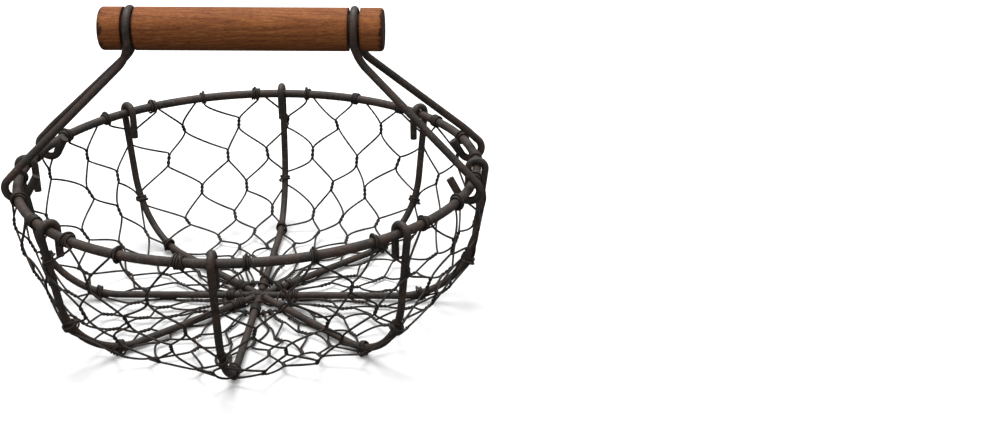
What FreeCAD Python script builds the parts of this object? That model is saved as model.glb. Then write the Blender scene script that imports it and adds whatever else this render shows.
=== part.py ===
"""Egg collection basket: a round wire bowl lined with hexagonal netting, under a wooden grip on two wire bails.

The rim is a closed ring. One rib wire runs from side to side under the bowl and six shorter ribs are welded to
its middle; each rib climbs the outside of the wall, goes over the rim and comes down inside it as a tail. The
netting hangs outside the ribs: its wires run down from the rim in twisted pairs, and a drawn wire gathers
their ends under the bowl. A bail at each side lies in a groove of the grip, and its two legs end in open
hooks round the rim.

Millimetres. +Z is up, the grip lies along X, and the origin is on the surface that the basket stands on,
under the middle of the bowl.
"""
import FreeCAD, Part
import math
import os
import Sketcher
from FreeCAD import Placement, Rotation, Vector

DIMENSIONS = [
    # alias, value, what it is
    ("rim_radius", 100.0, "rim ring, middle of the bowl to the middle of the wire"),
    ("rim_wire", 4.0, "rim wire diameter"),
    ("rib_wire", 3.2, "rib wire diameter"),
    ("rib_count", 8, "rib ends round the rim"),
    ("rib_hook_gap", 0.15, "between a rib's hook and the rim"),
    ("rib_tail", 12.0, "how far a rib's inner tail reaches below the rim"),
    ("rib_inner_end", 4.9, "middle of the bowl to the inner end of a short rib"),
    ("basket_depth", 63.5, "rim's centre down to the ribs' centre line on the floor"),
    ("wall_lean", 8.0, "degrees that the wall leans in towards the floor"),
    ("corner_radius", 36.0, "rib centre line, from wall to floor"),
    ("weld_radius", 7.0, "weld bead over the inner ends of the ribs"),
    ("weld_height", 5.0, "thickness of the weld bead"),
    ("net_wire", 0.9, "netting wire diameter"),
    ("net_gap", 0.2, "between the ribs and the netting"),
    ("net_columns", 24, "twisted pairs round the bowl"),
    ("net_pitch", 15.3, "from one row of twists to the next, along the netting"),
    ("net_twist", 5.5, "length of a twist"),
    ("net_bend", 1.2, "bend radius of a netting wire"),
    ("pair_gap", 0.1, "between the two wires of a twist"),
    ("splice_gap", 0.1, "between the ends of two lengths of netting wire"),
    ("gather_radius", 16.0, "gather wire, to the middle of the wire"),
    ("wrap_gap", 0.05, "between a wrap or tie and the wire that it holds"),
    ("wrap_pitch", 1.05, "pitch of the wraps and ties"),
    ("wrap_turns", 2.5, "turns of each wrap round the rim"),
    ("tie_wire", 0.8, "tie wire diameter"),
    ("tie_turns", 2, "turns of each rib tie"),
    ("bail_wire", 3.4, "bail wire diameter"),
    ("hook_angle", 14.5, "degrees round the rim from the side to a bail hook"),
    ("hook_play", 1.3, "between a bail hook and the rim"),
    ("hook_meets", 45.0, "degrees above the horizontal at which a leg becomes its hook"),
    ("hook_leaves", 150.0, "degrees below the horizontal at which a hook becomes its tail"),
    ("hook_tail", 8.0, "straight end of a bail hook"),
    ("hook_run", 9.0, "straight end of a leg, in line with its hook"),
    ("hook_run_bend", 40.0, "bend radius above that straight end"),
    ("handle_rise", 63.5, "rim's centre up to the grip's axis"),
    ("grip_diameter", 18.6, "wooden grip"),
    ("grip_length", 121.0, "wooden grip"),
    ("grip_edge", 1.6, "rounding of the grip's ends"),
    ("saddle_span", 96.0, "between the middles of the grip's two grooves"),
    ("groove_width", 5.2, "groove in the grip"),
    ("groove_depth", 2.7, "groove in the grip"),
    ("saddle_gap", 0.1, "between a bail and the bottom of its groove"),
    ("shoulder_drop", 5.0, "grip's axis down to where a leg starts to turn in"),
    ("pinch_drop", 12.5, "grip's axis down to the pinch under the grip"),
    ("pinch_half", 6.6, "half the distance between the legs' centre lines at the pinch"),
    ("pinch_out", 2.4, "how far the pinch stands outside its groove's middle"),
    ("shoulder_bend", 5.0, "bend radius where a leg turns in"),
    ("leg_bend", 11.0, "bend radius where a leg turns out below the grip"),
]

UP = Vector(0, 0, 1)
FULL_TURN = 360.0

doc = FreeCAD.newDocument("EggBasket")
sheet = doc.addObject("Spreadsheet::Sheet", "Dimensions")
for row, (alias, value, note) in enumerate(DIMENSIONS, start=1):
    sheet.set("A%d" % row, alias)
    sheet.set("B%d" % row, str(value))
    sheet.set("C%d" % row, note)
    sheet.setAlias("B%d" % row, alias)
doc.recompute()


def dim(alias):
    """The value of a driving dimension."""
    return float(sheet.get(alias))


# ---- sizes that follow from the driving dimensions ----

RIM_R = dim("rim_wire") / 2
RIB_R = dim("rib_wire") / 2
NET_R = dim("net_wire") / 2
TIE_R = dim("tie_wire") / 2
BAIL_R = dim("bail_wire") / 2
LEAN = math.radians(dim("wall_lean"))
COLUMNS = int(dim("net_columns"))
COLUMN_STEP = FULL_TURN / COLUMNS
RIB_STEP = FULL_TURN / dim("rib_count")
RIB_TO_NET = RIB_R + dim("net_gap") + NET_R  # between the centre lines of a rib and the netting on it
STAND = dim("basket_depth") + RIB_TO_NET + NET_R  # standing surface to the rim's centre
HOOK_BEND = RIM_R + dim("rib_hook_gap") + RIB_R  # a rib's hook, about the rim's centre
AT_RIM = Placement(Vector(0, 0, STAND), Rotation())


def wall_line(drop):
    """Distance of the ribs' centre line from the bowl's axis, on the straight wall, that far below the rim."""
    outer = dim("rim_radius") + HOOK_BEND * math.cos(LEAN)
    return outer - (drop - HOOK_BEND * math.sin(LEAN)) * math.tan(LEAN)


CORNER_DROP = dim("basket_depth") - dim("corner_radius") * (1 - math.sin(LEAN))  # where wall becomes corner
FLOOR_RADIUS = wall_line(CORNER_DROP) - dim("corner_radius") * math.cos(LEAN)  # where corner becomes floor


def turned(angle, base=AT_RIM):
    """A placement turned about the bowl's axis, in degrees."""
    return base.multiply(Placement(Vector(), Rotation(UP, angle)))


def copies_round(shape, count, first=0.0):
    """Copies of a shape, evenly spaced round the bowl's axis from that angle on."""
    made = []
    for number in range(count):
        copy = shape.copy()
        copy.rotate(Vector(), UP, first + number * FULL_TURN / count)
        made.append(copy)
    return Part.makeCompound(made)


def path_through(points, bends):
    """Edges of straight runs through the points, each inner point rounded to its bend radius."""
    edges = []
    last = points[0]
    for before, corner, after, bend in zip(points, points[1:], points[2:], bends):
        back = (before - corner).normalize()
        ahead = (after - corner).normalize()
        half = back.getAngle(ahead) / 2
        setback = bend / math.tan(half)
        inward = (back + ahead).normalize()
        start, end = corner + back * setback, corner + ahead * setback
        middle = corner + inward * (bend / math.sin(half) - bend)
        edges.append(Part.LineSegment(last, start).toShape())
        edges.append(Part.Arc(start, middle, end).toShape())
        last = end
    edges.append(Part.LineSegment(last, points[-1]).toShape())
    return edges


def start_of(edge):
    """An edge's first point and its heading there."""
    return edge.valueAt(edge.FirstParameter), edge.tangentAt(edge.FirstParameter)


def wire_solid(edges, radius):
    """Round wire of that radius along the edges."""
    spine = Part.Wire(edges)
    section = Part.Wire([Part.makeCircle(radius, *start_of(edges[0]))])
    solid = spine.makePipeShell([section], True, False)
    expected = math.pi * radius ** 2 * spine.Length
    if abs(solid.Volume / expected - 1) > 0.02:
        raise ValueError("a wire's volume is %.1f, not %.1f" % (solid.Volume, expected))
    return solid


def coil_solid(bend, radius, turns):
    """A wrap round the Y axis, middled on the origin, with that bend radius and wire radius."""
    length = dim("wrap_pitch") * turns
    helix = Part.makeHelix(dim("wrap_pitch"), length, bend)
    section = Part.Wire([Part.makeCircle(radius, *start_of(helix.Edges[0]))])
    solid = Part.Wire(helix.Edges).makePipeShell([section], True, True)
    solid.translate(UP * (-length / 2))
    solid.rotate(Vector(), Vector(1, 0, 0), -90)
    return solid


def feature(label, shape):
    """A sub-part, shaped by this file's own functions about the rim's centre."""
    made = doc.addObject("Part::Feature", label)
    made.Label = label
    made.Shape = shape
    made.Placement = AT_RIM
    return made


def origin_plane(body, role):
    """One of a body's own origin planes."""
    return [f for f in body.Origin.OriginFeatures if f.Role == role][0]


def new_sketch(body, name, role):
    """A sketch on one of a body's origin planes."""
    sketch = body.newObject("Sketcher::SketchObject", name)
    sketch.AttachmentSupport = [(origin_plane(body, role), "")]
    sketch.MapMode = "FlatFace"
    return sketch


def bind(sketch, constraint, expression):
    """Adds a dimensional constraint that follows an expression."""
    sketch.setExpression("Constraints[%d]" % sketch.addConstraint(constraint), expression)


# ---- rim ----

def make_rim():
    rim = doc.addObject("Part::Torus", "rim_ring")
    rim.Label = "rim_ring"
    rim.setExpression("Radius1", "Dimensions.rim_radius")
    rim.setExpression("Radius2", "Dimensions.rim_wire / 2")
    rim.Placement = AT_RIM
    return rim


# ---- ribs ----

def rib_path(body, name, inner):
    """A rib's centre line, from the tail inside the rim to that distance from the bowl's axis."""
    radius, depth, corner = dim("rim_radius"), dim("basket_depth"), dim("corner_radius")
    sketch = new_sketch(body, name, "XZ_Plane")
    tail_x = radius - HOOK_BEND
    hook_out = Vector(radius + HOOK_BEND * math.cos(LEAN), -HOOK_BEND * math.sin(LEAN), 0)
    wall_end = Vector(wall_line(CORNER_DROP), -CORNER_DROP, 0)
    corner_middle = Vector(FLOOR_RADIUS, corner - depth, 0)
    tail = sketch.addGeometry(Part.LineSegment(Vector(tail_x, -dim("rib_tail"), 0), Vector(tail_x, 0, 0)))
    hook = sketch.addGeometry(
        Part.ArcOfCircle(Part.Circle(Vector(radius, 0, 0), UP, HOOK_BEND), -LEAN, math.pi))
    wall = sketch.addGeometry(Part.LineSegment(wall_end, hook_out))
    turn = sketch.addGeometry(
        Part.ArcOfCircle(Part.Circle(corner_middle, UP, corner), -math.pi / 2, -LEAN))
    floor = sketch.addGeometry(Part.LineSegment(Vector(FLOOR_RADIUS, -depth, 0), Vector(inner, -depth, 0)))
    sketch.addConstraint([
        Sketcher.Constraint("Vertical", tail),
        Sketcher.Constraint("Horizontal", floor),
        Sketcher.Constraint("PointOnObject", hook, 3, -1),
        Sketcher.Constraint("Tangent", tail, 2, hook, 2),
        Sketcher.Constraint("Tangent", wall, 2, hook, 1),
        Sketcher.Constraint("Tangent", wall, 1, turn, 2),
        Sketcher.Constraint("Tangent", floor, 1, turn, 1),
    ])
    bind(sketch, Sketcher.Constraint("DistanceX", -1, 1, hook, 3, radius), "Dimensions.rim_radius")
    bind(sketch, Sketcher.Constraint("Radius", hook, HOOK_BEND),
         "Dimensions.rim_wire / 2 + Dimensions.rib_hook_gap + Dimensions.rib_wire / 2")
    bind(sketch, Sketcher.Constraint("DistanceY", tail, 1, -1, 1, dim("rib_tail")), "Dimensions.rib_tail")
    bind(sketch, Sketcher.Constraint("Angle", wall, math.pi / 2 - LEAN), "(90 - Dimensions.wall_lean) * 1 deg")
    bind(sketch, Sketcher.Constraint("Radius", turn, corner), "Dimensions.corner_radius")
    bind(sketch, Sketcher.Constraint("DistanceY", floor, 1, -1, 1, depth), "Dimensions.basket_depth")
    if inner:
        bind(sketch, Sketcher.Constraint("DistanceX", -1, 1, floor, 2, inner), "Dimensions.rib_inner_end")
    else:
        sketch.addConstraint(Sketcher.Constraint("PointOnObject", floor, 2, -2))
    return sketch


def rib_section(body, name):
    """A rib's round section, at the end of its tail."""
    section = new_sketch(body, name, "XY_Plane")
    section.setExpression("AttachmentOffset.Base.z", "-Dimensions.rib_tail")
    circle = section.addGeometry(Part.Circle(Vector(dim("rim_radius") - HOOK_BEND, 0, 0), UP, RIB_R))
    section.addConstraint(Sketcher.Constraint("PointOnObject", circle, 3, -1))
    bind(section, Sketcher.Constraint("DistanceX", -1, 1, circle, 3, dim("rim_radius") - HOOK_BEND),
         "Dimensions.rim_radius - Dimensions.rim_wire / 2 - Dimensions.rib_hook_gap - Dimensions.rib_wire / 2")
    bind(section, Sketcher.Constraint("Radius", circle, RIB_R), "Dimensions.rib_wire / 2")
    return section


def make_rib(label, angle, inner):
    """A rib at that angle round the bowl; one with no inner end goes on to the other side of the rim."""
    body = doc.addObject("PartDesign::Body", label)
    body.Label = label
    path = rib_path(body, label + "_path", inner)
    section = rib_section(body, label + "_section")
    doc.recompute()
    pipe = body.newObject("PartDesign::AdditivePipe", label + "_pipe")
    pipe.Profile = section
    pipe.Spine = (path, ["Edge%d" % (n + 1) for n in range(len(path.Shape.Edges))])
    body.Tip = pipe
    doc.recompute()
    if not inner:
        whole = body.newObject("PartDesign::Mirrored", label + "_whole")
        whole.Originals = [pipe]
        whole.MirrorPlane = (origin_plane(body, "YZ_Plane"), [""])
        body.Tip = whole
    body.Placement = turned(angle)
    return body


SHORT_RIBS = (  # name, place round the bowl in rib steps from the right
    ("rib_back_right", 1),
    ("rib_back", 2),
    ("rib_back_left", 3),
    ("rib_front_left", 5),
    ("rib_front", 6),
    ("rib_front_right", 7),
)


def make_ribs():
    ribs = [make_rib("rib_side_to_side", 0, 0)]
    for name, place in SHORT_RIBS:
        ribs.append(make_rib(name, place * RIB_STEP, dim("rib_inner_end")))
    return ribs


def make_weld(ribs):
    """The weld bead that joins the inner ends of the ribs: a lens, the common part of two balls, cut round the
    ribs."""
    half_height = dim("weld_height") / 2
    ball_radius = (dim("weld_radius") ** 2 + half_height ** 2) / (2 * half_height)
    balls = []
    for number, side in enumerate((-1, 1)):
        ball = doc.addObject("Part::Sphere", "weld_ball_%d" % number)
        ball.setExpression("Radius", "(Dimensions.weld_radius ^ 2 + (Dimensions.weld_height / 2) ^ 2)"
                                     " / Dimensions.weld_height")
        height = STAND - dim("basket_depth") + side * (ball_radius - half_height)
        ball.Placement = Placement(UP * height, Rotation())
        balls.append(ball)
    bead = doc.addObject("Part::MultiCommon", "weld_bead")
    bead.Shapes = balls
    wires = doc.addObject("Part::MultiFuse", "weld_wires")
    wires.Shapes = ribs
    weld = doc.addObject("Part::Cut", "centre_weld")
    weld.Label = "centre_weld"
    weld.Base = bead
    weld.Tool = wires
    return weld


# ---- netting ----

def net_profile():
    """The netting's profile from the rim to the gather wire, as (length, distance from the axis, height above
    the rim's centre) rows. It starts under the rim's wraps, and follows the ribs from the first twist on."""
    top = RIM_R + dim("net_wire") + 2 * dim("wrap_gap") + NET_R
    join = dim("net_pitch")
    corner = dim("corner_radius") + RIB_TO_NET
    corner_middle = Vector(FLOOR_RADIUS, dim("corner_radius") - dim("basket_depth"), 0)
    points = [Vector(dim("rim_radius"), -top, 0), Vector(wall_line(join) + RIB_TO_NET / math.cos(LEAN), -join, 0)]
    steps = 24
    for step in range(steps + 1):
        angle = -LEAN - (math.pi / 2 - LEAN) * step / steps
        points.append(corner_middle + Vector(math.cos(angle), math.sin(angle), 0) * corner)
    inner = dim("gather_radius") + dim("net_wire") + dim("splice_gap")
    points.append(Vector(inner, -dim("basket_depth") - RIB_TO_NET, 0))
    rows = [(0.0, points[0].x, points[0].y)]
    for before, after in zip(points, points[1:]):
        rows.append((rows[-1][0] + (after - before).Length, after.x, after.y))
    return rows


NET_PROFILE = net_profile()
NET_LENGTH = NET_PROFILE[-1][0]
NET_ROWS = int((NET_LENGTH - dim("net_twist")) / dim("net_pitch"))  # rows of twists below the rim's wraps


def on_net(angle, along, aside=0.0):
    """A point of the netting at that angle, in degrees, and that length down from the rim, moved aside."""
    for (near, r_near, z_near), (far, r_far, z_far) in zip(NET_PROFILE, NET_PROFILE[1:]):
        if along <= far:
            break
    share = (along - near) / (far - near)
    radius, height = r_near + (r_far - r_near) * share, z_near + (z_far - z_near) * share
    turn = math.radians(angle)
    return Vector(radius * math.cos(turn) - aside * math.sin(turn),
                  radius * math.sin(turn) + aside * math.cos(turn), height)


def at_twist(side, row, onward):
    """A point of one wire of a pair, side 1 or -1, at a row of twists and onward from the twist's middle. At
    even rows it is twisted with the other wire of its pair, and at odd rows with one of the next pair."""
    aside = side * (dim("net_wire") + dim("pair_gap")) / 2
    along = row * dim("net_pitch") + onward
    if row % 2:
        return on_net(side * COLUMN_STEP / 2, along, -aside)
    return on_net(0, along, aside)


def net_strand(side, first, last):
    """One wire of a pair from one row of twists to another."""
    half_twist = dim("net_twist") / 2
    points = [at_twist(side, first, 0), at_twist(side, first, half_twist)]
    for row in range(first + 1, last):
        points += [at_twist(side, row, -half_twist), at_twist(side, row, half_twist)]
    points.append(at_twist(side, last, -half_twist))
    end = NET_LENGTH - last * dim("net_pitch") if last == NET_ROWS else -dim("splice_gap")
    points.append(at_twist(side, last, end))
    return wire_solid(path_through(points, [dim("net_bend")] * (len(points) - 2)), NET_R)


NET_BANDS = ("netting_upper_wall", "netting_lower_wall", "netting_corner", "netting_floor")


def make_netting():
    """The netting, a length of it at a time, from the rim to the gather wire."""
    bands = []
    limits = [round(NET_ROWS * number / len(NET_BANDS)) for number in range(len(NET_BANDS) + 1)]
    for name, first, last in zip(NET_BANDS, limits, limits[1:]):
        pair = Part.makeCompound([net_strand(side, first, last) for side in (1, -1)])
        strands = copies_round(pair, COLUMNS, COLUMN_STEP / 2)
        bands.append(feature(name, Part.makeCompound(strands.Solids)))
    return bands


def make_rim_wraps():
    """The turns of netting wire that hang each pair from the rim."""
    coil = coil_solid(RIM_R + dim("wrap_gap") + NET_R, NET_R, dim("wrap_turns"))
    coil.translate(Vector(dim("rim_radius"), 0, 0))
    return feature("rim_wraps", copies_round(coil, COLUMNS, COLUMN_STEP / 2))


TIED_ROWS = (3, 5)  # rows of twists that are bound to the ribs


def make_rib_ties():
    """Turns of tie wire, as rings side by side, that bind the netting's twists to the ribs."""
    far_side = math.hypot(RIB_TO_NET, (dim("net_wire") + dim("pair_gap")) / 2) + NET_R
    bend = (RIB_R + far_side) / 2 + dim("wrap_gap") + TIE_R
    turns = []
    for row in TIED_ROWS:
        along, half_twist = row * dim("net_pitch"), dim("net_twist") / 2
        above, below = on_net(0, along - half_twist), on_net(0, along + half_twist)
        heading = (below - above).normalize()
        to_rib = Vector(0, 1, 0).cross(heading)
        middle = (above + below) * 0.5 + to_rib * (RIB_TO_NET - (far_side - RIB_R) / 2)
        for turn in range(int(dim("tie_turns"))):
            offset = dim("wrap_pitch") * (turn - (dim("tie_turns") - 1) / 2)
            ring = Part.makeTorus(bend, TIE_R, middle + heading * offset, heading)
            turns += copies_round(ring, int(dim("rib_count"))).Solids
    return feature("rib_ties", Part.makeCompound(turns))


def make_gather_wire():
    ring = doc.addObject("Part::Torus", "gather_wire")
    ring.Label = "gather_wire"
    ring.setExpression("Radius1", "Dimensions.gather_radius")
    ring.setExpression("Radius2", "Dimensions.net_wire / 2")
    ring.Placement = Placement(UP * NET_R, Rotation())
    return ring


# ---- handle ----

def bail_half_path():
    """The front half of the right bail's centre line, from its tail to the top of the grip."""
    bend = RIM_R + dim("hook_play") + BAIL_R
    side = math.radians(-dim("hook_angle"))
    outward = Vector(math.cos(side), math.sin(side), 0)
    rim_middle = outward * dim("rim_radius")

    def on_hook(degrees):
        turn = math.radians(degrees)
        return rim_middle + (outward * math.cos(turn) + UP * math.sin(turn)) * bend

    def hook_heading(degrees):
        turn = math.radians(degrees)
        return outward * math.sin(turn) - UP * math.cos(turn)

    meets, leaves = dim("hook_meets"), -dim("hook_leaves")
    tail_end = on_hook(leaves) + hook_heading(leaves) * dim("hook_tail")
    edges = [
        Part.LineSegment(tail_end, on_hook(leaves)).toShape(),
        Part.Arc(on_hook(leaves), on_hook((meets + leaves) / 2), on_hook(meets)).toShape(),
    ]
    saddle_x, axis_z = dim("saddle_span") / 2, dim("handle_rise")
    saddle = dim("grip_diameter") / 2 - dim("groove_depth") + dim("saddle_gap") + BAIL_R
    leg = [
        on_hook(meets),
        on_hook(meets) - hook_heading(meets) * dim("hook_run"),
        Vector(saddle_x + dim("pinch_out"), -dim("pinch_half"), axis_z - dim("pinch_drop")),
        Vector(saddle_x, -saddle, axis_z - dim("shoulder_drop")),
        Vector(saddle_x, -saddle, axis_z),
    ]
    edges += path_through(leg, [dim("hook_run_bend"), dim("leg_bend"), dim("shoulder_bend")])
    slant = math.sqrt(0.5) * saddle
    over = Part.Arc(leg[-1], Vector(saddle_x, -slant, axis_z + slant), Vector(saddle_x, 0, axis_z + saddle))
    return edges + [over.toShape()]


def make_bails():
    front_half = Part.Wire(bail_half_path())
    back_half = front_half.mirror(Vector(), Vector(0, 1, 0))
    path = doc.addObject("Part::Feature", "bail_path")
    path.Shape = Part.Wire(Part.__sortEdges__(front_half.Edges + back_half.Edges))
    start, heading = start_of(path.Shape.OrderedEdges[0])
    section = doc.addObject("Part::Circle", "bail_section")
    section.setExpression("Radius", "Dimensions.bail_wire / 2")
    section.Placement = Placement(start, Rotation(UP, heading))
    right = doc.addObject("Part::Sweep", "bail_right")
    right.Label = "bail_right"
    right.Sections = [section]
    right.Spine = (path, ["Edge%d" % (n + 1) for n in range(len(path.Shape.Edges))])
    right.Solid = True
    right.Frenet = False
    right.Placement = AT_RIM
    left = doc.addObject("Part::Mirroring", "bail_left")
    left.Label = "bail_left"
    left.Source = right
    left.Normal = Vector(1, 0, 0)
    return [left, right]


def groove_section(body):
    """The section of one groove of the grip, to be turned about the X axis."""
    sketch = new_sketch(body, "grip_groove_section", "XZ_Plane")
    middle, half_width = dim("saddle_span") / 2, dim("groove_width") / 2
    bottom, top = dim("grip_diameter") / 2 - dim("groove_depth"), dim("grip_diameter")
    corners = [Vector(middle - half_width, bottom, 0), Vector(middle + half_width, bottom, 0),
               Vector(middle + half_width, top, 0), Vector(middle - half_width, top, 0)]
    sides = [sketch.addGeometry(Part.LineSegment(a, b)) for a, b in zip(corners, corners[1:] + corners[:1])]
    for side, following in zip(sides, sides[1:] + sides[:1]):
        sketch.addConstraint(Sketcher.Constraint("Coincident", side, 2, following, 1))
    for side, direction in zip(sides, ("Horizontal", "Vertical") * 2):
        sketch.addConstraint(Sketcher.Constraint(direction, side))
    bind(sketch, Sketcher.Constraint("DistanceX", sides[0], 1, sides[0], 2, 2 * half_width),
         "Dimensions.groove_width")
    bind(sketch, Sketcher.Constraint("DistanceX", -1, 1, sides[0], 1, middle - half_width),
         "Dimensions.saddle_span / 2 - Dimensions.groove_width / 2")
    bind(sketch, Sketcher.Constraint("DistanceY", -1, 1, sides[0], 1, bottom),
         "Dimensions.grip_diameter / 2 - Dimensions.groove_depth")
    bind(sketch, Sketcher.Constraint("DistanceY", -1, 1, sides[2], 1, top), "Dimensions.grip_diameter")
    return sketch


def make_grip():
    """A turned dowel with a groove near each end, and rounded ends."""
    body = doc.addObject("PartDesign::Body", "wooden_grip")
    body.Label = "wooden_grip"
    section = new_sketch(body, "grip_section", "YZ_Plane")
    circle = section.addGeometry(Part.Circle(Vector(), UP, dim("grip_diameter") / 2))
    section.addConstraint(Sketcher.Constraint("Coincident", circle, 3, -1, 1))
    bind(section, Sketcher.Constraint("Radius", circle, dim("grip_diameter") / 2), "Dimensions.grip_diameter / 2")
    dowel = body.newObject("PartDesign::Pad", "grip_dowel")
    dowel.Profile = section
    dowel.Midplane = True
    dowel.setExpression("Length", "Dimensions.grip_length")
    body.Tip = dowel
    doc.recompute()
    edges = [n for n, e in enumerate(dowel.Shape.Edges, start=1) if e.BoundBox.XLength < TIE_R]
    rounded = body.newObject("PartDesign::Fillet", "grip_ends")
    rounded.Base = (dowel, ["Edge%d" % n for n in edges])
    rounded.setExpression("Radius", "Dimensions.grip_edge")
    body.Tip = rounded
    doc.recompute()
    sketch = groove_section(body)
    groove = body.newObject("PartDesign::Groove", "grip_groove")
    groove.Profile = sketch
    groove.ReferenceAxis = (sketch, ["H_Axis"])
    groove.Angle = FULL_TURN
    body.Tip = groove
    doc.recompute()
    second = body.newObject("PartDesign::Mirrored", "grip_second_groove")
    second.Originals = [groove]
    second.MirrorPlane = (origin_plane(body, "YZ_Plane"), [""])
    body.Tip = second
    body.Placement = Placement(UP * (STAND + dim("handle_rise")), Rotation())
    return body


# ---- the whole ----

ribs = make_ribs()
sub_parts = [make_rim()] + ribs + [make_weld(ribs)]
sub_parts += make_netting() + [make_rim_wraps(), make_rib_ties(), make_gather_wire()]
sub_parts += make_bails() + [make_grip()]
doc.recompute()

faults = [o.Label for o in doc.Objects if "Invalid" in o.State or "Error" in o.State]
if faults:
    raise SystemExit("these objects failed: %s" % faults)
for part in sub_parts:
    if part.Shape.isNull() or not part.Shape.isValid() or not part.Shape.Solids:
        raise SystemExit("%s has no valid solid" % part.Label)
os.makedirs("parts", exist_ok=True)
for part in sub_parts:
    part.Shape.exportStep("parts/%s.step" % part.Label)
    print("%-22s %3d solids %10.1f mm3" % (part.Label, len(part.Shape.Solids), part.Shape.Volume))
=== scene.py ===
"""Looks for the egg collection basket: irregular twisted netting, knotted wraps and ties, worn brown wire
and an oiled wooden grip, on a pale floor."""
import math
import random

import bpy
from mathutils import Matrix, Vector


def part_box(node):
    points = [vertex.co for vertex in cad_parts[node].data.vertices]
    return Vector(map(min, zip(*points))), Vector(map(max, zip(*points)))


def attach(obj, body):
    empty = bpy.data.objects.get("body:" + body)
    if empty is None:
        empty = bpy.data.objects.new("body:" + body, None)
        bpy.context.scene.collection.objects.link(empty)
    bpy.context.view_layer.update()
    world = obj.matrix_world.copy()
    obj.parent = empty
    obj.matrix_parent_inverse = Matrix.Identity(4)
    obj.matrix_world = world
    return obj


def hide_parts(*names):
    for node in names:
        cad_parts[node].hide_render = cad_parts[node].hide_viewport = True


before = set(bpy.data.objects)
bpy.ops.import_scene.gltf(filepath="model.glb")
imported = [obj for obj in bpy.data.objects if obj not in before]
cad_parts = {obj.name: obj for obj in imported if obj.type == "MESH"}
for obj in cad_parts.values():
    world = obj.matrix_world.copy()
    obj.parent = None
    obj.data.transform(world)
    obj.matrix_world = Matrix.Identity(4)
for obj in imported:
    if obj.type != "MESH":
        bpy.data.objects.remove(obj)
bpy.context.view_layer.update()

MM = 0.001
UP = Vector((0, 0, 1))
RNG = random.Random(41)

# ---- sizes, in millimetres, read from the frame ----


def box_mm(node):
    """A node's lowest and highest corner, in millimetres."""
    low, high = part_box(node)
    return low / MM, high / MM


RIM_LOW, RIM_HIGH = box_mm("rim_ring")
RIM_WIRE = RIM_HIGH.z - RIM_LOW.z
RIM_RADIUS = (RIM_HIGH.x - RIM_LOW.x - RIM_WIRE) / 2
RIM_Z = (RIM_HIGH.z + RIM_LOW.z) / 2
RIB_LOW, RIB_HIGH = box_mm("rib_front")
RIB_WIRE = RIB_HIGH.x - RIB_LOW.x
RIB_FLOOR_Z = RIB_LOW.z + RIB_WIRE / 2
RIB_REACH = -RIB_LOW.y - RIB_WIRE / 2
GATHER_LOW, GATHER_HIGH = box_mm("gather_wire")
GATHER_RADIUS = (GATHER_HIGH.x - GATHER_LOW.x) / 2 - (GATHER_HIGH.z - GATHER_LOW.z) / 2
GRIP_LOW, GRIP_HIGH = box_mm("wooden_grip")
GROOVE_MIDDLE = 48.0  # middle of the grip to the middle of a bail's groove

# ---- sizes, in millimetres and degrees, that the frame doesn't state ----

WALL_LEAN = 8.0
CORNER_RADIUS = 36.0  # the ribs' centre line, from wall to floor
NET_COLUMNS = 24
NET_PITCH = 15.3
NET_ROWS = 8
NET_RADIUS = 0.48  # netting wire
TWIST_LENGTH = 6.0
TWIST_TURNS = 1.5
RIB_COUNT = 8
TUBE_SIDES = 8

COLUMN_STEP = 360.0 / NET_COLUMNS
RIB_STEP = 360.0 / RIB_COUNT
FLAT_TWIST = 0.07  # half of what a twist's wires rise over each other where a rib presses on them
ROUND_TWIST = 0.32  # the same, away from the ribs
RIB_TO_NET = RIB_WIRE / 2 + NET_RADIUS + FLAT_TWIST
TIED_ROWS = (3, 5)
FLOOR_ROW = 5  # the first row of twists that lies low, near the floor

PULL = 0.85  # share of the way to a straight line that the netting is pulled between two ribs
PULL_GROWS = (16.0, 42.0)  # lengths from the rim between which the pull grows
PULL_FADES = (88.0, 118.0)  # and between which it fades
WANDER_ASIDE = 4.8  # degrees, shared with the neighbouring twists
WANDER_ONWARD = 2.2  # millimetres
JITTER_ASIDE = 2.0  # degrees, each twist's own
JITTER_ONWARD = 1.5  # millimetres
WALL_LIFT = (-1.3, 0.4)  # how far a twist stands out from the bowl
FLOOR_LIFT = (-2.8, 0.0)
WRAP_STEP = 22  # degrees round the rim's wire between a wrap's points
NEAR_RIB = 13  # degrees; a wire that ends nearer to a rib goes round it
GATHER_RISES = (5, 13)  # degrees from a rib between which the gather wire rises

WEAVE_RADIUS = 9.6  # the thin wire woven over and under the ribs round the weld
WELD_ARM = 5.2  # how far the weld runs out along each rib
WELD_PILE = 3.2  # radius within which beads are piled on its middle
WELD_BEADS = 22

LENS = 54.6
CAMERA_PLACE = (0.1104, -0.6257, 0.2503)  # metres, above the rim's centre
CAMERA_TIP = 23.587  # degrees below level
CAMERA_ROLL = 0.281


# ---- tubes ----

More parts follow.
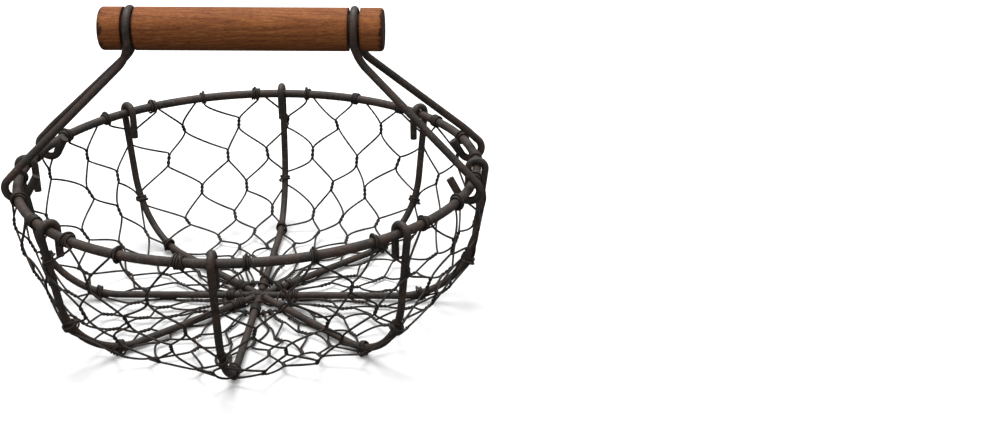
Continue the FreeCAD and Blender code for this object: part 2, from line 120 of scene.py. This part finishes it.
class Tubes:
    """Round wires gathered into one mesh."""

    def __init__(self):
        self.verts, self.faces = [], []

    def add(self, points, radius, swell=0.0, sides=TUBE_SIDES):
        """A tube along points in millimetres, kept above the floor, with slightly rounded ends. Its radius
        wanders by a share of itself."""
        first = len(self.verts)
        phase = RNG.uniform(0, 6.28)
        points = [Vector((point.x, point.y, max(point.z, radius))) for point in points]
        tangents = [(b - a).normalized() for a, b in zip(points, points[1:])]
        turned = [(a + b).normalized() for a, b in zip(tangents, tangents[1:])]
        tangents = [tangents[0]] + turned + [tangents[-1]]
        normal = tangents[0].orthogonal().normalized()
        rings = [(points[0] - tangents[0] * radius * 0.4, 0.6)] + [(p, 1.0) for p in points]
        rings.append((points[-1] + tangents[-1] * radius * 0.4, 0.6))
        tangents = [tangents[0]] + tangents + [tangents[-1]]
        for number, ((point, scale), tangent) in enumerate(zip(rings, tangents)):
            normal = (normal - tangent * normal.dot(tangent)).normalized()
            side = tangent.cross(normal)
            reach = radius * scale * (1 + swell * math.sin(number * 0.7 + phase))
            for corner in range(sides):
                turn = 2 * math.pi * corner / sides
                self.verts.append((point + (normal * math.cos(turn) + side * math.sin(turn)) * reach) * MM)
        count = len(rings)
        for ring in range(count - 1):
            for corner in range(sides):
                a = first + ring * sides + corner
                b = first + ring * sides + (corner + 1) % sides
                self.faces.append((a, b, b + sides, a + sides))
        self.faces.append(tuple(first + corner for corner in reversed(range(sides))))
        self.faces.append(tuple(first + (count - 1) * sides + corner for corner in range(sides)))

    def piece(self, name):
        """The wires as one smooth-shaded object."""
        mesh = bpy.data.meshes.new(name)
        mesh.from_pydata([tuple(v) for v in self.verts], [], self.faces)
        mesh.polygons.foreach_set("use_smooth", [True] * len(mesh.polygons))
        mesh.update()
        made = bpy.data.objects.new(name, mesh)
        bpy.context.scene.collection.objects.link(made)
        return made


def bezier(start, start_handle, end_handle, end, steps):
    """Points of a cubic curve after its start, up to and with its end."""
    made = []
    for step in range(1, steps + 1):
        t = step / steps
        made.append(start * (1 - t) ** 3 + start_handle * (3 * t * (1 - t) ** 2)
                    + end_handle * (3 * t * t * (1 - t)) + end * t ** 3)
    return made


def smoothstep(low, high, value):
    """0 below low, 1 above high, and smooth between."""
    t = min(1.0, max(0.0, (value - low) / (high - low)))
    return t * t * (3 - 2 * t)


# ---- the bowl that the netting follows ----

def bowl_profile():
    """Rows of (length from the rim, distance from the axis, height) down to the gathered middle."""
    lean = math.radians(WALL_LEAN)
    floor_z = RIB_FLOOR_Z - RIB_TO_NET
    corner_z = RIB_FLOOR_Z + CORNER_RADIUS
    hook = RIB_REACH - RIM_RADIUS
    outer_r = RIM_RADIUS + hook * math.cos(lean)
    outer_z = RIM_Z - hook * math.sin(lean)
    corner_top_z = corner_z - CORNER_RADIUS * math.sin(lean)
    wall_end_r = outer_r - (outer_z - corner_top_z) * math.tan(lean)
    middle_r = wall_end_r - CORNER_RADIUS * math.cos(lean)
    join_z = RIM_Z - NET_PITCH
    join_r = outer_r - (outer_z - join_z) * math.tan(lean) + RIB_TO_NET / math.cos(lean)
    points = [(RIM_RADIUS + RIM_WIRE / 2 + NET_RADIUS, RIM_Z), (join_r, join_z)]
    steps = 60
    for step in range(steps + 1):
        angle = lean + (math.pi / 2 - lean) * step / steps
        reach = CORNER_RADIUS + RIB_TO_NET
        points.append((middle_r + reach * math.cos(angle), corner_z - reach * math.sin(angle)))
    points.append((GATHER_RADIUS, floor_z))
    rows = [(0.0, *points[0])]
    for (r, z), (r_next, z_next) in zip(points, points[1:]):
        rows.append((rows[-1][0] + math.hypot(r_next - r, z_next - z), r_next, z_next))
    return rows


PROFILE = bowl_profile()
NET_LENGTH = PROFILE[-1][0]


def profile_at(along):
    """(distance from the axis, height) at that length down from the rim."""
    along = min(max(along, 0.0), NET_LENGTH)
    for (near, r, z), (far, r_far, z_far) in zip(PROFILE, PROFILE[1:]):
        if along <= far:
            break
    share = (along - near) / (far - near)
    return r + (r_far - r) * share, z + (z_far - z) * share


def on_bowl(angle, along, lift=0.0):
    """A point of the netting's surface, lifted outwards. Between ribs the netting is pulled straighter."""
    radius, height = profile_at(along)
    r_before, z_before = profile_at(along - 0.5)
    r_after, z_after = profile_at(along + 0.5)
    down = Vector((r_after - r_before, z_after - z_before)).normalized()
    off_rib = math.radians(angle % RIB_STEP - RIB_STEP / 2)
    pulled = 1 - math.cos(math.radians(RIB_STEP / 2)) / math.cos(off_rib)
    share = PULL * smoothstep(*PULL_GROWS, along) * (1 - smoothstep(*PULL_FADES, along))
    radius = radius * (1 - share * pulled) - down.y * lift
    height += down.x * lift
    turn = math.radians(angle)
    return Vector((radius * math.cos(turn), radius * math.sin(turn), height))


def beside(angle, along, aside, onward, lift):
    """A point of the surface, moved aside and onward and lifted outwards by millimetres."""
    radius = profile_at(along + onward)[0]
    return on_bowl(angle + math.degrees(aside / radius), along + onward, lift)


def from_rib(angle):
    """Degrees from an angle to the nearest rib."""
    return abs((angle + RIB_STEP / 2) % RIB_STEP - RIB_STEP / 2)


# ---- netting ----

DRIFTS = [(1.3, 1, 2.76, 0.0)]  # size, turns round the bowl, phase and lean of each
DRIFTS += [(RNG.uniform(0.6, 1.0), turns, RNG.uniform(0, 6.28), RNG.uniform(-0.5, 0.5))
           for turns in (2, 3, 5)]


def drift(angle, row, phase):
    """A slow wander, about -1 to 1, that neighbouring twists share."""
    return sum(size * math.sin(math.radians(angle) * turns + start + lean * row + phase * turns)
               for size, turns, start, lean in DRIFTS) / 2.2


class Twist:
    """Where two wires of the netting are twisted together."""

    def __init__(self, row, column):
        self.angle = (column + (1.0 if row % 2 else 0.5)) * COLUMN_STEP
        self.along = row * NET_PITCH
        off_rib = from_rib(self.angle)
        tied = off_rib < 1 and row in TIED_ROWS
        near_tied_row = max(math.exp(-(row - tied_row) ** 2) for tied_row in TIED_ROWS)
        near_tie = math.exp(-(off_rib / 11) ** 2) * near_tied_row
        loose = smoothstep(NET_ROWS - 3.5, NET_ROWS - 1, row)
        sway = smoothstep(0, 2.5, row) * (1 - near_tie)
        aside = WANDER_ASIDE * drift(self.angle, row, 0.0) + RNG.uniform(-JITTER_ASIDE, JITTER_ASIDE)
        self.angle += sway * aside
        jitter = RNG.uniform(-JITTER_ONWARD, JITTER_ONWARD) * (1 + 0.4 * loose)
        self.along += sway * (WANDER_ONWARD * drift(self.angle, row, 2.0) + jitter)
        self.tilt = 0 if tied else RNG.gauss(0, 0.15 + 0.10 * loose)
        self.half = TWIST_LENGTH / 2 * RNG.uniform(0.85, 1.15)
        free = smoothstep(1.5, 9, from_rib(self.angle))
        self.flat = FLAT_TWIST + (ROUND_TWIST - FLAT_TWIST) * free
        self.lift = 0.0
        if row >= FLOOR_ROW:
            self.lift = free * RNG.uniform(*FLOOR_LIFT) - (self.flat - FLAT_TWIST)
        elif row > 0:
            self.lift = free * RNG.uniform(*WALL_LIFT)

    def at(self, aside, onward, lift):
        """A point of the twist: aside and onward are turned by its tilt."""
        c, s = math.cos(self.tilt), math.sin(self.tilt)
        return aside * c - onward * s, aside * s + onward * c, self.lift + lift

    def helix(self, side):
        """Surface coordinates along the wire that comes in on that side and leaves on the other."""
        steps = int(TWIST_TURNS * 9)
        start = 0.0 if side > 0 else math.pi
        made = []
        for step in range(steps + 1):
            share = step / steps
            turn = start + TWIST_TURNS * 2 * math.pi * share
            aside = NET_RADIUS * 1.02 * math.cos(turn)
            onward = (2 * share - 1) * self.half
            made.append(self.at(aside, onward, self.flat * math.sin(turn)))
        return made


def surface_points(twist, coordinates):
    """The points of those surface coordinates about a twist."""
    return [beside(twist.angle, twist.along, aside, onward, lift) for aside, onward, lift in coordinates]


def leg(points, target, first_heading):
    """A gently bowed wire from the end of some points to the start of others."""
    start, end = points[-1], target[0]
    span = (end - start).length
    arrive = (target[0] - target[1]).normalized()
    bow = first_heading.cross((end - start).normalized())
    aside = bow.cross(end - start).normalized() if bow.length > 0.05 else Vector()
    bend = aside * RNG.gauss(0, 0.06) * span
    out = start + first_heading * RNG.uniform(0.4, 1.5) + (end - start) * 0.12 + bend
    back = end + arrive * RNG.uniform(0.4, 1.5) - (end - start) * 0.12 + bend
    return bezier(start, out, back, end, 9)[:-1]


def rim_point(angle, turn, reach):
    """A point about the rim's centre line, that far from it, at that turn in degrees from its outside."""
    a, t = math.radians(angle), math.radians(turn)
    radius = RIM_RADIUS + reach * math.cos(t)
    return Vector((radius * math.cos(a), radius * math.sin(a), RIM_Z + reach * math.sin(t)))


def rim_wrap(angle, hand):
    """The wire round the rim between a pair's two legs: up the outside, round and round, and out underneath.
    Its last turn mostly crosses back over the others."""
    turns = RNG.choice((2, 2, 3, 3, 4))
    last = 360 * turns + RNG.uniform(225, 250)
    steps = int(last / WRAP_STEP)
    reach = RIM_WIRE / 2 + NET_RADIUS * 1.02
    pitch = math.degrees(NET_RADIUS * RNG.uniform(2.1, 2.5) / RIM_RADIUS)
    crosses = RNG.random() < 0.75
    cross_from = 360 * (turns - RNG.uniform(0.1, 0.4))
    middle = turns / 2
    made = []
    for step in range(steps + 1):
        turn = last * step / steps
        place, over = turn / 360 - middle, 0.0
        if crosses and turn > cross_from:
            place -= (turns - 0.4) * smoothstep(cross_from, last, turn)
            over = NET_RADIUS * 1.7 * smoothstep(cross_from, cross_from + 90, turn)
        made.append(rim_point(angle + hand * pitch * place, turn, reach + over + RNG.uniform(0, 0.08)))
    return made


def strand(twists, column, direction):
    """One wire from the rim down to the gather, as points, crossing at each twist to the next column."""
    points, at = [], column
    for row in range(1, NET_ROWS + 1):
        if direction > 0:
            at = at if row % 2 else at + 1
        else:
            at = at - 1 if row % 2 else at
        twist = twists[row][at % NET_COLUMNS]
        points.append(surface_points(twist, twist.helix(-direction)))
    return points


def joined(groups, start):
    """One run of points through groups, with legs between them, from a start point on."""
    made = list(start)
    heading = (made[-1] - made[-2]).normalized()
    for group in groups:
        made += leg(made, group, heading)
        made += group
        heading = (group[-1] - group[-2]).normalized()
    return made


def loops(start, middle, sideways, first_turn, turns, reach, shift, arriving, bridge_steps):
    """Turns about a horizontal axis through middle and square to sideways, shifted as they go; bridged from
    the start's end."""
    steps = max(4, int(turns * 12))
    made = []
    for step in range(steps + 1):
        share = step / steps
        turn = first_turn - 2 * math.pi * turns * share
        made.append(middle + sideways * (reach * math.cos(turn)) + UP * (reach * math.sin(turn))
                    + shift * share)
    heading = (start[-1] - start[-2]).normalized()
    arrive = (made[0] - made[1]).normalized()
    bridge = bezier(start[-1], start[-1] + heading * 1.5, made[0] + arrive * arriving, made[0], bridge_steps)
    return bridge[:-1] + made


def gather_height(angle):
    """The gather wire's height: it dips under each rib and rises between them."""
    return NET_RADIUS + 0.05 + smoothstep(*GATHER_RISES, from_rib(angle))


def gather_end(points, side):
    """The end of a wire: round the rib beside it, or round the gather wire."""
    tail = points[-1]
    angle = math.degrees(math.atan2(tail.y, tail.x))
    rib = round(angle / RIB_STEP) * RIB_STEP
    to_rib = (rib - angle + 180) % 360 - 180
    if abs(to_rib) < NEAR_RIB and side * to_rib > 0:
        a = math.radians(rib)
        out = Vector((math.cos(a), math.sin(a), 0))
        across = Vector((-math.sin(a), math.cos(a), 0)) * math.copysign(1, -to_rib)
        middle = out * RNG.uniform(GATHER_RADIUS - 4.5, GATHER_RADIUS + 3.5) + UP * RIB_FLOOR_Z
        inward = out * -RNG.uniform(1.0, 4.0)
        turns = RNG.uniform(1.3, 3.2)
        return loops(points, middle, across, -math.pi / 2, turns, RIB_WIRE / 2 + NET_RADIUS, inward, 1.5, 7)
    a = math.radians(angle)
    out = Vector((math.cos(a), math.sin(a), 0))
    height = gather_height(angle)
    reach = min(2 * NET_RADIUS + 0.04, height - NET_RADIUS - 0.02)
    if reach < NET_RADIUS * 1.5:
        inward = tail - out * RNG.uniform(1.0, 2.5)
        return [Vector((inward.x, inward.y, NET_RADIUS + 0.05))]
    turns = RNG.uniform(1.1, 2.3)
    shift = out.cross(UP) * RNG.uniform(-1.8, 1.8)
    middle = out * GATHER_RADIUS + UP * height - shift / 2
    return loops(points, middle, out, 0.0, turns, reach, shift, 1.0, 6)


def make_netting():
    """The netting, with its wraps round the rim and its gathered ends."""
    tubes = Tubes()
    twists = [[Twist(row, column) for column in range(NET_COLUMNS)] for row in range(NET_ROWS + 1)]
    for column in range(NET_COLUMNS):
        angle = twists[0][column].angle
        hand = RNG.choice((-1, 1))
        wrap = rim_wrap(angle, hand)
        down_in = strand(twists, column, hand)
        down_out = strand(twists, column, -hand)
        first = joined(down_in, wrap)
        second = joined(down_out, [wrap[1], wrap[0]])
        for points, side in ((first, hand), (second, -hand)):
            points += gather_end(points, side)
        tubes.add(list(reversed(second[1:])) + first[1:], NET_RADIUS, swell=0.05)
    return tubes.piece("netting_wires")


# ---- ties and the gather ----

def coil_round(middle, axis, sideways, half_width, half_depth, turns, pitch):
    """An uneven oval coil about an axis, whose last half turn stands off as a small loop."""
    deep = axis.cross(sideways)
    start = RNG.uniform(0, 6.28)
    steps = int(turns * 16)
    made = []
    for step in range(steps + 1):
        share = step / steps
        turn = start + 2 * math.pi * turns * share
        more = RNG.uniform(0, 0.05) + 0.8 * smoothstep(1 - 0.6 / turns, 1 - 0.25 / turns, share)
        shift = axis * (pitch * turns * (share - 0.5) + 0.15 * math.sin(turn * 1.7))
        made.append(middle + sideways * ((half_width + more) * math.cos(turn))
                    + deep * ((half_depth + more) * math.sin(turn)) + shift)
    return made


def make_rib_ties():
    """Small coils that bind the netting's twists to the ribs."""
    tubes = Tubes()
    half_width = RIB_WIRE / 2 + NET_RADIUS + 0.03
    half_depth = (RIB_WIRE + 2 * (NET_RADIUS + FLAT_TWIST) + NET_RADIUS) / 2 + NET_RADIUS
    for row in TIED_ROWS:
        for rib in range(RIB_COUNT):
            angle, along = rib * RIB_STEP, row * NET_PITCH
            here, ahead = on_bowl(angle, along), on_bowl(angle, along + 1)
            axis = (ahead - here).normalized()
            a = math.radians(angle)
            sideways = Vector((-math.sin(a), math.cos(a), 0))
            middle = here + sideways.cross(axis).normalized() * (half_depth - 2 * NET_RADIUS - FLAT_TWIST)
            lean = (axis + sideways * RNG.uniform(-0.2, 0.2)).normalized()
            level = lean.cross(sideways.cross(lean)).normalized()
            turns = RNG.uniform(2.3, 3.6)
            coil = coil_round(middle, lean, level, half_width, half_depth, turns, 2 * NET_RADIUS)
            tubes.add(coil, NET_RADIUS)
    return tubes.piece("rib_tie_wires")


def make_gather():
    """The drawn wire under the floor, and a thin wire woven over and under the ribs round the weld."""
    tubes = Tubes()
    steps = 120
    for number in range(2):
        points = []
        for step in range(steps + 1):
            turn = 2 * math.pi * step / steps
            wander = 0.45 * math.sin(turn * 13 + number * math.pi)
            wander += 0.25 * math.sin(turn * 5 + number * 2.1)
            height = gather_height(math.degrees(turn))
            height += number * 0.35 * smoothstep(0.6, 1.4, height)
            out = Vector((math.cos(turn), math.sin(turn), 0))
            points.append(out * (GATHER_RADIUS + wander) + UP * height)
        tubes.add(points, NET_RADIUS)
    points = []
    steps = 144
    for step in range(steps + 1):
        turn = 2 * math.pi * step / steps * 0.97
        weave = math.cos(RIB_COUNT / 2 * turn)
        z = RIB_FLOOR_Z + math.copysign(abs(weave) ** 0.7, weave) * (RIB_WIRE / 2 + NET_RADIUS)
        r = WEAVE_RADIUS + 1.1 * math.sin(turn * 3 + 1) + 0.5 * math.sin(turn * 7)
        points.append(Vector((math.cos(turn) * r, math.sin(turn) * r, z)))
    tubes.add(points, NET_RADIUS)
    return tubes.piece("gather_wires")


def make_weld():
    """The weld: the ribs' ends run together in a lumpy star, with beads piled on its middle."""
    tubes = Tubes()
    for rib in range(RIB_COUNT):
        a = math.radians(rib * RIB_STEP)
        out = Vector((math.cos(a), math.sin(a), 0))
        base = Vector((0, 0, RIB_FLOOR_Z))
        tubes.add([base + out * r for r in (-1.0, 1.0, 2.5, 4.0, WELD_ARM)], RIB_WIRE / 2 + 0.12, sides=20)
    for _ in range(WELD_BEADS):
        a, r = RNG.uniform(0, 6.28), WELD_PILE * math.sqrt(RNG.random())
        size = RNG.uniform(0.7, 1.35)
        z = RIB_FLOOR_Z + RNG.uniform(0.8, 2.4)
        middle = Vector((math.cos(a) * r, math.sin(a) * r, z))
        tubes.add([middle + Vector((0, 0, dz)) for dz in (-1.6, -0.6, 0.2)], size, sides=16)
    weld = tubes.piece("weld_bead")
    remesh = weld.modifiers.new("fused", "REMESH")
    remesh.mode = "VOXEL"
    remesh.voxel_size = 0.22 * MM
    smooth = weld.modifiers.new("melted", "SMOOTH")
    smooth.factor = 0.5
    smooth.iterations = 4
    bpy.context.view_layer.update()
    melted = bpy.data.meshes.new_from_object(weld.evaluated_get(bpy.context.evaluated_depsgraph_get()))
    weld.modifiers.clear()
    weld.data = melted
    melted.polygons.foreach_set("use_smooth", [True] * len(melted.polygons))
    return weld


# ---- materials ----

class Shader:
    """A material's nodes, built in order."""

    def __init__(self, name):
        self.material = bpy.data.materials.new(name)
        self.material.use_nodes = True
        self.nodes = self.material.node_tree.nodes
        self.links = self.material.node_tree.links
        self.surface = self.nodes["Principled BSDF"]
        self.place = self.nodes.new("ShaderNodeTexCoord").outputs["Object"]

    def put(self, socket, value):
        """Links a socket to an output, or sets it to a constant."""
        if isinstance(value, bpy.types.NodeSocket):
            self.links.new(value, socket)
        else:
            socket.default_value = value

    def stretched(self, scale, place=None):
        """Object coordinates times a scale along each axis."""
        node = self.nodes.new("ShaderNodeMapping")
        self.put(node.inputs["Vector"], place or self.place)
        node.inputs["Scale"].default_value = scale
        return node.outputs["Vector"]

    def noise(self, scale, detail=4.0, rough=0.55, place=None, distort=0.0):
        node = self.nodes.new("ShaderNodeTexNoise")
        self.put(node.inputs["Vector"], place or self.place)
        node.inputs["Scale"].default_value = scale
        node.inputs["Detail"].default_value = detail
        node.inputs["Roughness"].default_value = rough
        node.inputs["Distortion"].default_value = distort
        return node.outputs["Fac"]

    def ramp(self, value, *stops):
        """Colours at places from 0 to 1."""
        node = self.nodes.new("ShaderNodeValToRGB")
        self.put(node.inputs["Fac"], value)
        elements = node.color_ramp.elements
        while len(elements) < len(stops):
            elements.new(0.5)
        for element, (where, colour) in zip(elements, stops):
            element.position = where
            element.color = (*colour, 1) if isinstance(colour, tuple) else (colour, colour, colour, 1)
        return node.outputs["Color"]

    def maths(self, operation, first, second=0.0):
        node = self.nodes.new("ShaderNodeMath")
        node.operation = operation
        self.put(node.inputs[0], first)
        self.put(node.inputs[1], second)
        return node.outputs[0]

    def mix(self, share, first, second, blend="MIX"):
        node = self.nodes.new("ShaderNodeMix")
        node.data_type = "RGBA"
        node.blend_type = blend
        self.put(node.inputs["Factor"], share)
        for socket, value in ((node.inputs[6], first), (node.inputs[7], second)):
            self.put(socket, (*value, 1) if isinstance(value, tuple) else value)
        return node.outputs[2]

    def bump(self, height, strength, distance):
        node = self.nodes.new("ShaderNodeBump")
        self.put(node.inputs["Height"], height)
        node.inputs["Strength"].default_value = strength
        node.inputs["Distance"].default_value = distance
        self.put(self.surface.inputs["Normal"], node.outputs["Normal"])

    def finish(self, **inputs):
        """Sets the surface's inputs, with _ for a space in their names."""
        for name, value in inputs.items():
            self.put(self.surface.inputs[name.replace("_", " ")], value)
        return self.material


def wire_material(name, dark, brown, worn, coarse):
    """A dark coating, rusty in patches, grainy, pitted, and rubbed paler in small spots and scuffs."""
    s = Shader(name)
    patches = s.ramp(s.noise(coarse, 5, 0.6, distort=0.4), (0.42, 0.0), (0.62, 1.0))
    colour = s.mix(patches, dark, brown)
    grains = s.ramp(s.noise(1500, 3, 0.6), (0.46, 0.0), (0.66, 1.0))
    rubbed = s.ramp(s.noise(coarse * 6, 6, 0.7), (0.50, 0.0), (0.70, 1.0))
    colour = s.mix(s.maths("MULTIPLY", s.maths("MULTIPLY", grains, rubbed), 0.85), colour, worn)
    pits = s.ramp(s.noise(2300, 3, 0.6), (0.32, 1.0), (0.48, 0.0))
    colour = s.mix(s.maths("MULTIPLY", pits, 0.6), colour, tuple(c * 0.4 for c in dark))
    height = s.maths("ADD", s.maths("MULTIPLY", s.noise(1300, 4, 0.65), 0.7), s.noise(380, 3, 0.5))
    s.bump(height, 0.6, 0.0004)
    rough = s.ramp(s.noise(coarse * 3, 4, 0.6), (0.3, 0.42), (0.75, 0.66))
    return s.finish(Base_Color=colour, Roughness=rough, Specular_IOR_Level=0.36)


def wood_material():
    """Oiled hardwood: growth rings about an axis beside the grip, golden fibres and dark streaks along it,
    pores, dark stains at its ends, and painted shade in a band round each groove where a bail wire lies."""
    s = Shader("oiled_wood")
    warp = s.noise(1.0, 3, 0.5, place=s.stretched((16, 70, 70)))
    split = s.nodes.new("ShaderNodeSeparateXYZ")
    s.put(split.inputs[0], s.place)
    x, y, z = split.outputs
    axis_z = (GRIP_LOW.z + GRIP_HIGH.z) / 2 * MM
    across = s.maths("ADD", s.maths("ADD", y, 0.017), s.maths("MULTIPLY", x, 0.05))
    upward = s.maths("SUBTRACT", z, axis_z + 0.011)
    square = s.maths("ADD", s.maths("MULTIPLY", across, across), s.maths("MULTIPLY", upward, upward))
    even_rings = s.maths("MULTIPLY", s.maths("SQRT", square), 560.0)
    rings = s.maths("ADD", even_rings, s.maths("MULTIPLY", warp, 4.5))
    band = s.maths("FRACT", rings)
    colour = s.ramp(band, (0.0, (0.180, 0.056, 0.018)), (0.3, (0.290, 0.098, 0.029)),
                    (0.8, (0.240, 0.078, 0.024)), (1.0, (0.155, 0.048, 0.016)))
    broad = s.ramp(s.noise(1.0, 3, 0.5, place=s.stretched((20, 50, 50))), (0.38, 0.0), (0.62, 1.0))
    colour = s.mix(s.maths("MULTIPLY", broad, 0.5), colour, (0.150, 0.042, 0.015))
    slanted = s.nodes.new("ShaderNodeMapping")
    s.put(slanted.inputs["Vector"], s.place)
    slanted.inputs["Rotation"].default_value = (0, math.radians(7), math.radians(5))
    grain = slanted.outputs["Vector"]
    fibres = s.ramp(s.noise(1.0, 6, 0.7, place=s.stretched((85, 1250, 1250), grain), distort=0.3),
                    (0.50, 0.0), (0.68, 1.0))
    colour = s.mix(s.maths("MULTIPLY", fibres, 0.5), colour, (0.470, 0.205, 0.068))
    streaks = s.ramp(s.noise(1.0, 5, 0.65, place=s.stretched((14, 230, 230), grain), distort=0.3),
                     (0.53, 0.0), (0.70, 1.0))
    colour = s.mix(s.maths("MULTIPLY", streaks, 0.4), colour, (0.100, 0.033, 0.012))
    pores = s.ramp(s.noise(1.0, 2, 0.5, place=s.stretched((300, 3400, 3400), grain)),
                   (0.58, 0.0), (0.67, 1.0))
    colour = s.mix(s.maths("MULTIPLY", pores, 0.65), colour, (0.045, 0.016, 0.007))
    half = (GRIP_HIGH.x - GRIP_LOW.x) / 2 * MM
    to_end = s.maths("SUBTRACT", half, s.maths("ABSOLUTE", x))
    edge = s.maths("ADD", to_end, s.maths("MULTIPLY", s.maths("SUBTRACT", s.noise(230, 4, 0.65), 0.5), 0.012))
    stain = s.ramp(s.maths("MULTIPLY", edge, 200.0), (0.20, 1.0), (0.42, 0.0))
    colour = s.mix(s.maths("MULTIPLY", stain, 0.85), colour, (0.018, 0.010, 0.007))
    # painted shade: the wood is darkened in a band round each groove, where a bail wire lies against it
    from_groove = s.maths("SUBTRACT", s.maths("ABSOLUTE", x), GROOVE_MIDDLE * MM)
    ragged = s.maths("MULTIPLY", s.noise(400, 3, 0.6), 0.0012)
    to_groove = s.maths("ADD", s.maths("ABSOLUTE", from_groove), ragged)
    painted_groove_shade = s.ramp(s.maths("MULTIPLY", to_groove, 200.0), (0.60, 1.0), (0.82, 0.0))
    colour = s.mix(s.maths("MULTIPLY", painted_groove_shade, 0.6), colour, (0.030, 0.014, 0.008))
    hollows = s.maths("MULTIPLY", s.maths("ADD", pores, streaks), 0.6)
    height = s.maths("SUBTRACT", s.maths("MULTIPLY", fibres, 0.5), hollows)
    s.bump(height, 0.3, 0.0003)
    rough = s.ramp(streaks, (0.0, 0.56), (1.0, 0.7))
    return s.finish(Base_Color=colour, Roughness=rough, Specular_IOR_Level=0.10)


def floor_material():
    s = Shader("pale_floor")
    colour = s.ramp(s.noise(3, 2, 0.4), (0.3, (0.90, 0.90, 0.90)), (0.7, (0.92, 0.92, 0.92)))
    return s.finish(Base_Color=colour, Roughness=0.9, Specular_IOR_Level=0.1)


def repaint(nodes, material):
    """Gives CAD nodes a finished material."""
    for name in nodes:
        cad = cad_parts[name]
        cad.data.materials.clear()
        cad.data.materials.append(material)


# ---- stage ----

def make_camera():
    """The camera, looking down on the basket from the front, to its right."""
    data = bpy.data.cameras.new("camera")
    data.lens = LENS
    data.sensor_width = 36.0
    data.clip_start = 0.01
    camera = bpy.data.objects.new("camera", data)
    bpy.context.scene.collection.objects.link(camera)
    tip = Matrix.Rotation(math.radians(90 - CAMERA_TIP), 4, "X")
    roll = Matrix.Rotation(math.radians(CAMERA_ROLL), 4, "Z")
    camera.matrix_world = Matrix.Translation(Vector(CAMERA_PLACE) + UP * RIM_Z * MM) @ tip @ roll
    bpy.context.scene.camera = camera


def area_light(name, place, target, size, power):
    data = bpy.data.lights.new(name, "AREA")
    data.shape = "DISK"
    data.size = size
    data.energy = power
    light = bpy.data.objects.new(name, data)
    light.location = place
    light.rotation_euler = (Vector(target) - Vector(place)).to_track_quat("-Z", "Y").to_euler()
    bpy.context.scene.collection.objects.link(light)


def make_sky():
    """Soft light from above that fades towards the floor."""
    world = bpy.data.worlds.new("studio")
    world.use_nodes = True
    nodes, links = world.node_tree.nodes, world.node_tree.links
    place = nodes.new("ShaderNodeTexCoord")
    split = nodes.new("ShaderNodeSeparateXYZ")
    spread = nodes.new("ShaderNodeMapRange")
    spread.inputs["From Min"].default_value = -1.0
    fade = nodes.new("ShaderNodeValToRGB")
    for where, level in ((0.0, 0.10), (0.5, 0.22), (0.75, 0.9)):
        stop = fade.color_ramp.elements.new(where)
        stop.color = (level, level, level, 1)
    fade.color_ramp.elements.remove(fade.color_ramp.elements[0])
    links.new(place.outputs["Generated"], split.inputs[0])
    links.new(split.outputs["Z"], spread.inputs["Value"])
    links.new(spread.outputs["Result"], fade.inputs["Fac"])
    links.new(fade.outputs["Color"], nodes["Background"].inputs["Color"])
    nodes["Background"].inputs["Strength"].default_value = 1.0
    bpy.context.scene.world = world


def make_stage():
    """A pale floor under soft studio light. The floor throws no light back up, so undersides stay dark."""
    mesh = bpy.data.meshes.new("floor")
    reach = 6.0
    mesh.from_pydata([(-reach, -reach, 0), (reach, -reach, 0), (reach, reach, 0), (-reach, reach, 0)], [],
                     [(0, 1, 2, 3)])
    floor = bpy.data.objects.new("floor", mesh)
    bpy.context.scene.collection.objects.link(floor)
    floor.data.materials.append(floor_material())
    floor.visible_diffuse = False
    floor.visible_glossy = False
    make_sky()
    area_light("overhead", (-0.1, 0.35, 1.3), (0, 0, 0.05), 0.9, 14)
    area_light("front", (-0.5, -1.2, 1.1), (0, 0, 0.08), 0.6, 2.5)
    bpy.context.scene.view_settings.view_transform = "Standard"


make_camera()
make_stage()

COATED = wire_material("coated_wire", dark=(0.023, 0.020, 0.017), brown=(0.056, 0.033, 0.024),
                       worn=(0.190, 0.142, 0.110), coarse=85)
FINE = wire_material("fine_wire", dark=(0.016, 0.014, 0.012), brown=(0.034, 0.020, 0.014),
                     worn=(0.070, 0.056, 0.046), coarse=140)
BURNT = wire_material("burnt_weld", dark=(0.016, 0.012, 0.010), brown=(0.036, 0.020, 0.014),
                      worn=(0.085, 0.058, 0.044), coarse=260)
repaint([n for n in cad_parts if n.startswith(("rim_ring", "rib_", "bail_"))], COATED)
repaint(["wooden_grip"], wood_material())

for piece, replaced in (
    (make_netting(), ("netting_upper_wall", "netting_lower_wall", "netting_corner", "netting_floor",
                      "rim_wraps")),
    (make_rib_ties(), ("rib_ties",)),
    (make_gather(), ("gather_wire",)),
):
    piece.data.materials.append(FINE)
    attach(piece, "basket")
    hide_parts(*replaced)

weld = make_weld()
weld.data.materials.append(BURNT)
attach(weld, "basket")
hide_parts("centre_weld")
